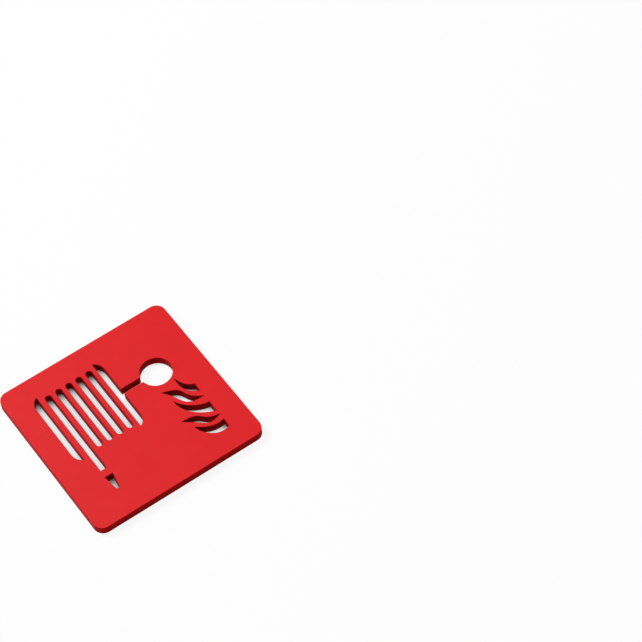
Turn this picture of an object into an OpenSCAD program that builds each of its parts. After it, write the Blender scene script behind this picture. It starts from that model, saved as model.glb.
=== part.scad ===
// Fire hose sign: a square plate cut from one sheet of red acrylic. The picture is cut right through it:
// a hose reel seen from its side, the hanging hose with its nozzle, the supply pipe with a round disc,
// and a column of five flames under the disc.
// The plate lies on its back. The origin is the middle of the back face. +Z points out of the front
// face, +Y to the top of the picture and +X to its right. All sizes are in millimetres.

/* [Plate] */
// Side of the square plate
plate_side = 100; // [90:1:200]
// Thickness of the acrylic sheet
plate_t = 5; // [2:0.5:10]
// Radius of the plate's four corners
corner_r = 5.6; // [1:0.2:12]

/* [Hose reel] */
// Place of the right flange's straight side, to the right of the plate's middle
reel_x = 0.6; // [-3:0.1:3]
// Height of the upper ends of the turns above the plate's middle
reel_top = 35.4; // [30:0.2:38]
// Height of the slots that show the turns of hose
turn_h = 42.9; // [32:0.1:46]
// Number of turns of hose on the reel
turns = 4; // [2:1:5]
// Width of each slot that shows hose
slot_w = 3.6; // [2.4:0.1:4.4]
// Width of the rib of sheet between two turns
rib_w = 2.5; // [1.5:0.1:3.2]
// Width of the slots that show the reel's two flanges
flange_w = 3.8; // [2.4:0.1:5]
// How far the tips of a flange reach past the turns, above and below
flange_over = 2.1; // [0:0.1:5]
// Radius of the round stretch at each end of a flange
flange_r = 7.1; // [5:0.1:14]

/* [Hanging hose and nozzle] */
// Width of the rib between the left flange and the hanging hose
flange_rib_w = 3.1; // [1.5:0.1:4]
// Width of the rib between the hanging hose and the nearest turn
hose_rib_w = 2.8; // [1.5:0.1:4]
// How far below the tops of the turns the hanging hose starts
hose_start = 0.3; // [0:0.1:4]
// How far the hanging hose reaches below the turns
hose_drop = 12.7; // [4:0.1:16]
// Width of the bridge of sheet between the hose and its nozzle
nozzle_gap = 4.5; // [1.5:0.1:6]
// Length of the nozzle, tip included
nozzle_len = 9.4; // [5:0.1:11]
// Width of the nozzle where it meets the hose
nozzle_w = 4.6; // [3.6:0.1:6]
// Width of the nozzle at its round tip
nozzle_tip_w = 2.1; // [1:0.1:3.4]

/* [Supply pipe and disc] */
// Width of the supply pipe
pipe_w = 3.2; // [2:0.1:6]
// Length of the supply pipe between the reel and the disc
pipe_len = 11.6; // [8:0.1:14]
// Radius of the disc
disc_r = 8.7; // [6:0.1:9.6]
// How far the disc's centre sits below the line of the pipe
disc_drop = 0.3; // [0:0.1:3]

/* [Flames] */
// Height of the column of flames
flame_h = 42.5; // [30:0.5:45]
// Distance from the disc's centre to the straight right-hand ends of the flames
flame_reach = 11.9; // [9:0.1:16]
// How far the highest flame starts below the disc
flame_drop = 0.2; // [0:0.1:4]

/* [Hidden] */
$fn = 96;

// Line of the reel's axis, on which the supply pipe lies
axis_y = reel_top - turn_h / 2;
turns_bottom = reel_top - turn_h;
// Left edge of the leftmost turn, then the left edge of the hanging hose
turns_left = reel_x - turns * (rib_w + slot_w);
hose_left = turns_left - hose_rib_w - slot_w;
hose_bottom = turns_bottom - hose_drop;
flange_h = turn_h + 2 * flange_over;
disc_x = reel_x + flange_w + pipe_len + disc_r;
disc_y = axis_y - disc_drop;
flames_x = disc_x + flame_reach;
flames_y = disc_y - disc_r - flame_drop;

// The flames, in hundredths of their column's height. The field's zero is on the line of the straight
// right-hand ends, level with the highest tip. Each flame is its upper edge and its lower edge, and each
// edge is one curve: where it starts, its two handles and where it ends.
FLAMES = [
    [[[-16, 0], [-13, -12], [-9, -19], [0, -22.5]],
     [[0, -34.5], [-8.5, -29], [-18.5, -25], [-16, 0]]],
    [[[-40, -9], [-5, -19], [-29, -28], [0, -43.5]],
     [[0, -43.5], [-31.5, -44.5], [-22, -29], [-40, -9]]],
    [[[-34.5, -27.5], [-31, -41], [-12.5, -54], [0, -54.5]],
     [[0, -70.5], [-18, -64], [-36, -48], [-34.5, -27.5]]],
    [[[-43.5, -59], [-11, -58.5], [-27.5, -73.5], [1.5, -76.5]],
     [[1.5, -76.5], [-23, -86.5], [-18.5, -74.5], [-43.5, -59]]],
    [[[-34.5, -74], [-26.5, -81], [-14, -90], [0, -85.5]],
     [[0, -97.5], [-18, -104.5], [-33, -87], [-34.5, -74]]],
];
// Straight steps along each edge of a flame and each round end of a flange
curve_steps = 16;

// A point on a curve with two handles, at f from 0 to 1
function on_curve(c, f) =
    pow(1 - f, 3) * c[0] + 3 * pow(1 - f, 2) * f * c[1] + 3 * (1 - f) * pow(f, 2) * c[2] + pow(f, 3) * c[3];

// The points of one edge, without its end, which is the start of the next edge on a closed flame
function edge_points(c) = [for (i = [0:curve_steps - 1]) on_curve(c, i / curve_steps)];

// True where two edges share a point, so that the point is written once
function meets(a, b) = norm(a[3] - b[0]) < 0.01;

function flame_points(flame) =
    concat(
        edge_points(flame[0]),
        meets(flame[0], flame[1]) ? [] : [flame[0][3]],
        edge_points(flame[1])
    );

// A square with four round corners
module plate_outline() {
    straight = plate_side - 2 * corner_r;
    square([plate_side, straight], center = true);
    square([straight, plate_side], center = true);
    for (x = [-1, 1], y = [-1, 1])
        translate([x, y] * straight / 2)
            circle(corner_r);
}

// A slot from y0 up to y1 with a round top, and a round bottom where it is asked for
module slot(x, y0, y1, w, round_bottom = true) {
    r = w / 2;
    foot = round_bottom ? y0 + r : y0;
    translate([x, foot])
        square([w, y1 - r - foot]);
    translate([x + r, y1 - r])
        circle(r);
    if (round_bottom)
        translate([x + r, foot])
            circle(r);
}

module hose_turns() {
    for (i = [0:turns - 1])
        slot(turns_left + i * (slot_w + rib_w), turns_bottom, reel_top, slot_w);
}

// A flange seen edge on, with its straight side at x = 0 and its outer side to the right. Each end is
// part of a circle that leaves the outer side without a corner and ends in a tip on the straight side.
module flange() {
    tip = acos((flange_r - flange_w) / flange_r);
    centre = [flange_w - flange_r, flange_h / 2 - flange_r * sin(tip)];
    upper = [
        for (i = [0:curve_steps])
            let (a = tip * i / curve_steps)
                centre + flange_r * [cos(a), sin(a)]
    ];
    lower = [for (i = [curve_steps:-1:0]) [upper[i][0], -upper[i][1]]];
    polygon(concat(upper, lower));
}

module flanges() {
    translate([reel_x, axis_y])
        flange();
    translate([hose_left - flange_rib_w, axis_y])
        mirror([1, 0])
            flange();
}

// The end of the hose leaves the reel and hangs down past the turns
module hanging_hose() {
    slot(hose_left, hose_bottom, reel_top - hose_start, slot_w, round_bottom = false);
}

// Wide at the hose, narrowing to a round tip
module nozzle() {
    top = hose_bottom - nozzle_gap;
    tip_r = nozzle_tip_w / 2;
    translate([hose_left + slot_w / 2, 0]) {
        polygon([
            [-nozzle_w / 2, top],
            [-tip_r, top - nozzle_len + tip_r],
            [tip_r, top - nozzle_len + tip_r],
            [nozzle_w / 2, top],
        ]);
        translate([0, top - nozzle_len + tip_r])
            circle(tip_r);
    }
}

// The pipe runs from inside the right flange to the disc's centre, so that the three are one opening
module pipe_and_disc() {
    pipe_x = reel_x + flange_w / 2;
    translate([pipe_x, axis_y - pipe_w / 2])
        square([disc_x - pipe_x, pipe_w]);
    translate([disc_x, disc_y])
        circle(disc_r);
}

module flames() {
    translate([flames_x, flames_y])
        for (flame = FLAMES)
            polygon(flame_points(flame) * flame_h / 100);
}

// The whole sheet, with everything that is cut through it
module sign_plate() {
    color("#dd2f32")
        linear_extrude(plate_t)
            difference() {
                plate_outline();
                hose_turns();
                flanges();
                hanging_hose();
                nozzle();
                pipe_and_disc();
                flames();
            }
}

sign_plate();
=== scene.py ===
import math
from functools import partial

import bmesh
import bpy
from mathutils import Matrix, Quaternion, Vector


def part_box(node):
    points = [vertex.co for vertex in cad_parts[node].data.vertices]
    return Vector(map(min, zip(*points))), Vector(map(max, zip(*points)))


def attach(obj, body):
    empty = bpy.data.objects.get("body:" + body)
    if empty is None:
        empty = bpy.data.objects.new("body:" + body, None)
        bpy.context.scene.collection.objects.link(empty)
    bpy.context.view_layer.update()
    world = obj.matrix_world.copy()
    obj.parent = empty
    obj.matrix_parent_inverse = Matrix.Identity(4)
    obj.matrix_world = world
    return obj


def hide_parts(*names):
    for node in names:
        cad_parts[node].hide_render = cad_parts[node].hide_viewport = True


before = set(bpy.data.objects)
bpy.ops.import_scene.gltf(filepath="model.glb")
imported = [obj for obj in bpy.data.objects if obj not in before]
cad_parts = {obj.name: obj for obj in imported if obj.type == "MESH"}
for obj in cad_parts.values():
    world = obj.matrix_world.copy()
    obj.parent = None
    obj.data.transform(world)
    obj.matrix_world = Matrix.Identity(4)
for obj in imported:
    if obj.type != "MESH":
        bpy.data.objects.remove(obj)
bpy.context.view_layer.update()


# The plate: one square of red acrylic sheet, 5 mm thick, with a satin front and back. A laser cuts the
# outline and every opening of the picture in one go, and its beam leaves the cut walls smooth and finely
# ribbed from front to back. The cut walls are coloured a deeper red than the faces: partly the cut edge's
# own deeper tone, and partly painted shade for walls that face away from the key. The cut's edges are
# broken by a light polish.
PLATE_LOW, PLATE_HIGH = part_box("sign_plate")
SHEET_T = PLATE_HIGH.z - PLATE_LOW.z
EDGE_BREAK = 0.00008
BREAK_STEPS = 3
# A corner's break reaches at most this many breaks into the sheet, so that sharp flame tips stay short
MITRE_LIMIT = 1.42
# Walls that turn by more than this meet in a crisp corner
CRISP_ANGLE = math.radians(40)
# Points closer than this are one
SAME_POINT = 0.000001
# A face whose direction rises more than this is the plate's front
FACES_FRONT = 0.5


def cut_lines(cad_plate):
    """The closed lines that the laser follows, as runs of points with the sheet on their left."""
    bm = bmesh.new()
    bm.from_mesh(cad_plate.data)
    bmesh.ops.remove_doubles(bm, verts=bm.verts, dist=SAME_POINT)
    bm.normal_update()
    ahead = {}
    for face in bm.faces:
        if face.normal.z < FACES_FRONT:
            continue
        for side in face.loops:
            if side.link_loop_radial_next.face.normal.z < FACES_FRONT:
                ahead[side.vert] = side.link_loop_next.vert
    runs = []
    while ahead:
        point, following = ahead.popitem()
        run = [point.co.to_2d()]
        while following in ahead:
            run.append(following.co.to_2d())
            following = ahead.pop(following)
        runs.append(run)
    bm.free()
    return runs


def into_sheet(before, here, after):
    """The way from a point of a cut line into the sheet, one break deep on both its sides."""
    along = (here - before).normalized(), (after - here).normalized()
    inward = Vector((-along[0].y, along[0].x)) + Vector((-along[1].y, along[1].x))
    reach = min(2 / inward.length, MITRE_LIMIT)
    return inward.normalized() * reach


def drawing(runs):
    """A mesh of edges alone, with each point's way into the sheet kept beside it."""
    points, edges, ways = [], [], []
    for run in runs:
        first = len(points)
        count = len(run)
        for i, here in enumerate(run):
            points.append((here.x, here.y, 0))
            edges.append((first + i, first + (i + 1) % count))
            ways.append(into_sheet(run[i - 1], here, run[(i + 1) % count]).to_3d())
    mesh = bpy.data.meshes.new("drawing")
    mesh.from_pydata(points, edges, [])
    stored = mesh.attributes.new("into_sheet", "FLOAT_VECTOR", "POINT")
    stored.data.foreach_set("vector", [x for way in ways for x in way])
    return mesh


def wire(tree, made, given):
    """Each named input of a node, wired to a socket or set to a value."""
    for name, source in given.items():
        if isinstance(source, bpy.types.NodeSocket):
            tree.links.new(source, made.inputs[name])
        else:
            made.inputs[name].default_value = source
    return made


def add_node(tree, kind, given=None, **settings):
    """A new node in a tree, with its settings and its inputs."""
    made = tree.nodes.new(kind)
    for name, value in settings.items():
        setattr(made, name, value)
    return wire(tree, made, given or {})


def sheet_cutter():
    """Nodes that raise cut walls with broken edges on the drawing and close them with two flat faces."""
    tree = bpy.data.node_groups.new("sheet_cutter", "GeometryNodeTree")
    node = partial(add_node, tree)

    def socket(name, kind, way="INPUT"):
        return tree.interface.new_socket(name, in_out=way, socket_type=kind)

    socket("Drawing", "NodeSocketGeometry")
    inputs = {
        "Sheet thickness": socket("Sheet thickness", "NodeSocketFloat"),
        "Edge break": socket("Edge break", "NodeSocketFloat"),
        "Crisp angle": socket("Crisp angle", "NodeSocketFloat"),
        "Face finish": socket("Face finish", "NodeSocketMaterial"),
        "Cut finish": socket("Cut finish", "NodeSocketMaterial"),
    }
    socket("Plate", "NodeSocketGeometry", "OUTPUT")
    given = node("NodeGroupInput").outputs
    way = node("GeometryNodeInputNamedAttribute", {"Name": "into_sheet"}, data_type="FLOAT_VECTOR")
    way = way.outputs["Attribute"]

    # The line where the flat faces end, one break inside the cut
    inset = node("ShaderNodeVectorMath", {0: way, "Scale": given["Edge break"]}, operation="SCALE")
    rim = node("GeometryNodeSetPosition", {"Geometry": given["Drawing"], "Offset": inset.outputs[0]})
    rim = rim.outputs["Geometry"]

    # The wall's section from the back face to the front: a quarter round, a straight and a quarter round
    arc = [math.radians(90) * i / BREAK_STEPS for i in range(BREAK_STEPS + 1)]
    back = [(1 - math.sin(a), 1 - math.cos(a)) for a in arc]
    front = [(1 - math.cos(a), math.sin(a)) for a in arc]
    straight = node(
        "ShaderNodeMath",
        {0: given["Edge break"], 1: -2.0, 2: given["Sheet thickness"]},
        operation="MULTIPLY_ADD",
    ).outputs[0]

    def raise_wall(mesh, top, step_in, step_up, scale):
        links = {0: way, 1: (step_in,) * 3, 2: (0, 0, step_up)}
        step = node("ShaderNodeVectorMath", links, operation="MULTIPLY_ADD").outputs[0]
        links = {"Mesh": mesh, "Offset": step, "Offset Scale": scale}
        if top is not None:
            links["Selection"] = top
        return node("GeometryNodeExtrudeMesh", links, mode="EDGES").outputs

    wall, top = rim, None
    for (in_0, up_0), (in_1, up_1) in zip(back, back[1:]):
        out = raise_wall(wall, top, in_1 - in_0, up_1 - up_0, given["Edge break"])
        wall, top = out["Mesh"], out["Top"]
    out = raise_wall(wall, top, 0, 1, straight)
    wall, top, cut = out["Mesh"], out["Top"], out["Side"]
    for (in_0, up_0), (in_1, up_1) in zip(front, front[1:]):
        out = raise_wall(wall, top, in_1 - in_0, up_1 - up_0, given["Edge break"])
        wall, top = out["Mesh"], out["Top"]

    # The two flat faces, with the openings left out
    outline = node("GeometryNodeMeshToCurve", {"Mesh": rim}).outputs[0]
    back_face = node("GeometryNodeFillCurve", {"Curve": outline}).outputs[0]
    height = node("ShaderNodeCombineXYZ", {"Z": given["Sheet thickness"]}).outputs[0]
    front_face = node("GeometryNodeTransform", {"Geometry": back_face, "Translation": height})
    back_face = node("GeometryNodeFlipFaces", {"Mesh": back_face}).outputs[0]

    joined = node("GeometryNodeJoinGeometry")
    for part in (front_face.outputs[0], back_face, wall):
        tree.links.new(part, joined.inputs[0])
    plate = node(
        "GeometryNodeMergeByDistance", {"Geometry": joined.outputs[0], "Distance": SAME_POINT}
    )
    turn = node("GeometryNodeInputMeshEdgeAngle").outputs["Unsigned Angle"]
    crisp = node("FunctionNodeCompare", {0: turn, 1: given["Crisp angle"]}, operation="GREATER_THAN")
    plate = node("GeometryNodeSetShadeSmooth", {"Geometry": plate.outputs[0], "Shade Smooth": True})
    plate = node(
        "GeometryNodeSetShadeSmooth",
        {"Geometry": plate.outputs[0], "Selection": crisp.outputs[0], "Shade Smooth": False},
        domain="EDGE",
    )
    plate = node("GeometryNodeRemoveAttribute", {"Geometry": plate.outputs[0], "Name": "into_sheet"})
    plate = node("GeometryNodeRealizeInstances", {"Geometry": plate.outputs[0]})
    plate = node(
        "GeometryNodeSetMaterial", {"Geometry": plate.outputs[0], "Material": given["Face finish"]}
    )
    plate = node(
        "GeometryNodeSetMaterial",
        {"Geometry": plate.outputs[0], "Selection": cut, "Material": given["Cut finish"]},
    )
    node("NodeGroupOutput", {"Plate": plate.outputs[0]})
    return tree, inputs


ACRYLIC_IOR = 1.49
# A pattern's lowest values show the dark tone alone, and its highest the light one
DARK_BELOW, LIGHT_ABOVE = 0.3, 0.7


def finish_nodes(name):
    """A new material, its nodes and the piece's own coordinates."""
    material = bpy.data.materials.new(name)
    material.use_nodes = True
    node = partial(add_node, material.node_tree)
    return material, node, node("ShaderNodeTexCoord").outputs["Object"]


def two_tones(node, pattern, dark, light):
    """A colour that goes from a dark tone to a light one with the pattern."""
    made = node("ShaderNodeValToRGB", {"Fac": pattern})
    first, last = made.color_ramp.elements
    first.position, first.color = DARK_BELOW, dark
    last.position, last.color = LIGHT_ABOVE, light
    return made.outputs["Color"]


def dress(material, colour, gloss, bump, mirror):
    """The finish's shader, from its colour, roughness and bumps and the strength of its reflections."""
    tree = material.node_tree
    inputs = {
        "IOR": ACRYLIC_IOR,
        "Specular IOR Level": mirror,
        "Base Color": colour,
        "Roughness": gloss.outputs["Result"],
        "Normal": bump.outputs["Normal"],
    }
    wire(tree, tree.nodes["Principled BSDF"], inputs)
    return material


def satin_acrylic():
    """The sheet's faces: pigmented right through, with a fine matt grain and hardly any cloud in it."""
    material, node, place = finish_nodes("satin_red_acrylic")
    cloud = node("ShaderNodeTexNoise", {"Vector": place, "Scale": 70.0, "Detail": 3.0}).outputs["Fac"]
    tint = two_tones(node, cloud, (0.697, 0.0036, 0.0064, 1), (0.729, 0.0046, 0.0078, 1))
    grain = node("ShaderNodeTexNoise", {"Vector": place, "Scale": 5000.0, "Detail": 2.0}).outputs["Fac"]
    gloss = node("ShaderNodeMapRange", {"Value": grain, "To Min": 0.36, "To Max": 0.46})
    bump = node("ShaderNodeBump", {"Height": grain, "Strength": 0.6, "Distance": 0.00005})
    return dress(material, tint, gloss, bump, mirror=0.24)


def laser_cut_acrylic():
    """The cut walls: melted smooth by the beam, with fine ribs that run straight through the sheet."""
    material, node, place = finish_nodes("laser_cut_red_acrylic")
    drawn_out = node("ShaderNodeMapping", {"Vector": place, "Scale": (1.0, 1.0, 0.03)}).outputs[0]
    ribs = node(
        "ShaderNodeTexNoise",
        {"Vector": drawn_out, "Scale": 900.0, "Detail": 4.0, "Roughness": 0.65},
    ).outputs["Fac"]
    # Both tones are well below the faces' red: partly the cut edge's own deeper tone, partly painted shade
    tint = two_tones(node, ribs, (0.33, 0.0021, 0.0029, 1), (0.45, 0.0030, 0.0038, 1))
    gloss = node("ShaderNodeMapRange", {"Value": ribs, "To Min": 0.38, "To Max": 0.50})
    melt = node("ShaderNodeBump", {"Height": ribs, "Strength": 0.6, "Distance": 0.00007})
    return dress(material, tint, gloss, melt, mirror=0.01)


sheet = bpy.data.objects.new("sheet", drawing(cut_lines(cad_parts["sign_plate"])))
bpy.context.scene.collection.objects.link(sheet)
cutter, cutter_inputs = sheet_cutter()
cutting = sheet.modifiers.new("cutting", "NODES")
cutting.node_group = cutter
for name, value in {
    "Sheet thickness": SHEET_T,
    "Edge break": EDGE_BREAK,
    "Crisp angle": CRISP_ANGLE,
    "Face finish": satin_acrylic(),
    "Cut finish": laser_cut_acrylic(),
}.items():
    cutting[cutter_inputs[name].identifier] = value
# Flat faces and straight walls keep their own direction, and the rounds between them shade smoothly
flats = sheet.modifiers.new("flats", "WEIGHTED_NORMAL")
flats.keep_sharp = True

made = bpy.context.evaluated_depsgraph_get()
plate = bpy.data.objects.new(
    "acrylic_plate", bpy.data.meshes.new_from_object(sheet.evaluated_get(made), depsgraph=made)
)
bpy.context.scene.collection.objects.link(plate)
bpy.data.objects.remove(sheet)
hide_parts("sign_plate")
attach(plate, "root")


# The table: a wide, pale matt top on which the plate lies on its back. In the open it shows nearly white,
# with a faint shade beside the plate, partly cast by the key and partly painted. Down in a narrow opening,
# where the walls hide the room and the key from it, it is painted darker: painted shade, from less plain
# white and a darker tone.
TABLE_SIZE = 4.0
TABLE_GAP = 0.00002
# How far round a spot of the table the walls that hide the room from it are looked for
WALLS_WITHIN = 0.02
# The way in which the key stands behind the plate, just above the table; a spot's openness that way sets
# where the key's shade is painted
BEHIND = Vector((0, 1, 0.15)).normalized()
# What the spot's openness above it and behind it adds to its plain white, and what is taken off, so that
# the white falls away as painted shade where little is open
OPEN_ABOVE, OPEN_BEHIND, TAKEN_OFF = 3.6, 2.2, 1.63
MOST_WHITE = 0.89
# The table's tone, from an opening this narrow to one this wide: its own pale tone in the open, darkened
# towards the narrow end as painted shade
NARROW, WIDE = 0.21, 0.42
NARROW_PAINTED_SHADE_TONE, WIDE_TONE = 0.2, 0.92


def figure(tree, operation, *terms):
    """One step of a sum on numbers and sockets."""
    return add_node(tree, "ShaderNodeMath", dict(enumerate(terms)), operation=operation).outputs[0]


def seen(tree):
    """A factor that is 1 for what the camera and reflections see, and 0 for the light that spreads."""
    path = add_node(tree, "ShaderNodeLightPath").outputs
    mirrored = figure(tree, "MAXIMUM", path["Is Glossy Ray"], path["Is Transmission Ray"])
    return figure(tree, "MAXIMUM", path["Is Camera Ray"], mirrored)


def openness(tree, way=None):
    """How much of the room a spot of the table sees past the walls, straight up or in the given way."""
    given = {"Distance": WALLS_WITHIN}
    if way is not None:
        given["Normal"] = add_node(tree, "ShaderNodeCombineXYZ", dict(enumerate(way))).outputs[0]
    return add_node(tree, "ShaderNodeAmbientOcclusion", given).outputs["AO"]


def white_share_with_painted_shade(tree, above):
    """How much of the table is plain white, for what is seen of it. It falls away where the walls close
    round a spot, which paints shade in narrow openings and beside the plate.
    """
    share = figure(tree, "MULTIPLY_ADD", above, OPEN_ABOVE, -TAKEN_OFF)
    share = figure(tree, "MULTIPLY_ADD", openness(tree, BEHIND), OPEN_BEHIND, share)
    share = figure(tree, "MINIMUM", share, MOST_WHITE)
    share = figure(tree, "MAXIMUM", share, 0)
    return figure(tree, "MULTIPLY", share, seen(tree))


def blend(tree, share, first, second, output):
    """Two shaders, mixed by the second one's share and led to the tree's output."""
    mix = add_node(tree, "ShaderNodeMixShader", {0: share, 1: first.outputs[0], 2: second.outputs[0]})
    wire(tree, tree.nodes[output], {"Surface": mix.outputs[0]})


table_mesh = bpy.data.meshes.new("table")
half, z = TABLE_SIZE / 2, PLATE_LOW.z - TABLE_GAP
corners = [(-half, -half, z), (half, -half, z), (half, half, z), (-half, half, z)]
table_mesh.from_pydata(corners, [], [(0, 1, 2, 3)])
table = bpy.data.objects.new("table", table_mesh)
bpy.context.scene.collection.objects.link(table)
table_top = bpy.data.materials.new("pale_table")
table_top.use_nodes = True
tree = table_top.node_tree
above = openness(tree)
# Painted shade: the table's colour darkens as the walls close round a spot
painted_shade_range = {"From Min": NARROW, "From Max": WIDE, "To Min": NARROW_PAINTED_SHADE_TONE, "To Max": WIDE_TONE}
painted_shade_tone = add_node(tree, "ShaderNodeMapRange", {"Value": above, **painted_shade_range}).outputs["Result"]
look_with_painted_shade = {"Base Color": painted_shade_tone, "Roughness": 0.9, "Specular IOR Level": 0.1}
matt = wire(tree, tree.nodes["Principled BSDF"], look_with_painted_shade)
white = add_node(tree, "ShaderNodeEmission")
blend(tree, white_share_with_painted_shade(tree, above), matt, white, "Material Output")
table_mesh.materials.append(table_top)


# The light: a pale room all round, and one wide soft key that stands high behind the plate, a little to
# its left, so that the walls which face the viewer stay darker than the plate's front.
ROOM_LIGHT = 0.3
WHITE = (1, 1, 1, 1)
KEY_PLACE = Vector((-0.935, 1.781, 2.226))
KEY_SIDE = 1.3
KEY_WATTS = 86.0

lamp = bpy.data.lights.new("key", "AREA")
lamp.shape = "SQUARE"
lamp.size = KEY_SIDE
lamp.energy = KEY_WATTS
key = bpy.data.objects.new("key", lamp)
key.location = KEY_PLACE
key.rotation_mode = "QUATERNION"
key.rotation_quaternion = (-KEY_PLACE).to_track_quat("-Z", "Y")
bpy.context.scene.collection.objects.link(key)

world = bpy.data.worlds.new("room")
bpy.context.scene.world = world
world.use_nodes = True
tree = world.node_tree
room = wire(tree, tree.nodes["Background"], {"Color": WHITE, "Strength": ROOM_LIGHT})
backdrop = add_node(tree, "ShaderNodeBackground", {"Color": WHITE})
blend(tree, seen(tree), room, backdrop, "World Output")
bpy.context.scene.view_settings.view_transform = "Standard"


# The camera: a long lens that looks down on the plate from its lower left, so that the plate lies in the
# lower left of the frame.
AIM = Vector((0.1107, -0.01183, 0.00485))
ROLL = math.radians(-6.163)
camera = bpy.data.objects.new("camera", bpy.data.cameras.new("camera"))
camera.data.lens = 147.74
camera.data.sensor_width = 36.0
camera.data.clip_start, camera.data.clip_end = 0.05, 20.0
camera.location = (-0.28545, -0.70109, 1.11826)
camera.rotation_mode = "QUATERNION"
level = (AIM - camera.location).to_track_quat("-Z", "Y")
camera.rotation_quaternion = level @ Quaternion((0, 0, 1), ROLL)
bpy.context.scene.collection.objects.link(camera)
bpy.context.scene.camera = camera
